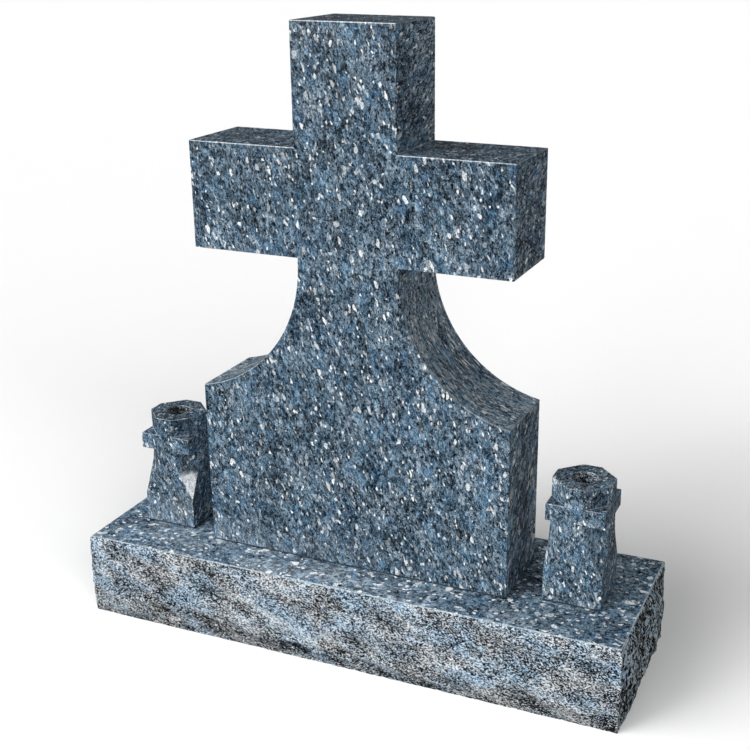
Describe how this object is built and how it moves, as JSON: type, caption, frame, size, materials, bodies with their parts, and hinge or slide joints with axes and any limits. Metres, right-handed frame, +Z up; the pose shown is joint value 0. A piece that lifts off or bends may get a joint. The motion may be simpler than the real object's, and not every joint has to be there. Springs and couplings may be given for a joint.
{
  "type": "cross headstone",
  "caption": "Upright granite headstone: a square-armed cross tablet with swept shoulders on a rock-faced base, between stone flower vases.",
  "frame": {"origin": "middle of the base's flat underside, where the headstone sits on its foundation", "axes": "+Z up the cross, -Y out of its front face, +X to the right as seen from the front"},
  "size_m": [1.0134, 0.3396, 1.0668],
  "materials": {
    "base_granite": "rock-pitched sides under a polished top",
    "tablet_granite": "polished blue-grey larvikite granite",
    "vase_granite": "polished blue-grey larvikite granite"
  },
  "bodies": {
    "root": {"rock_faced_base": "base_granite", "cross_tablet": "tablet_granite", "vase_left": "vase_granite", "vase_right": "vase_granite"}
  },
  "joints": []
}
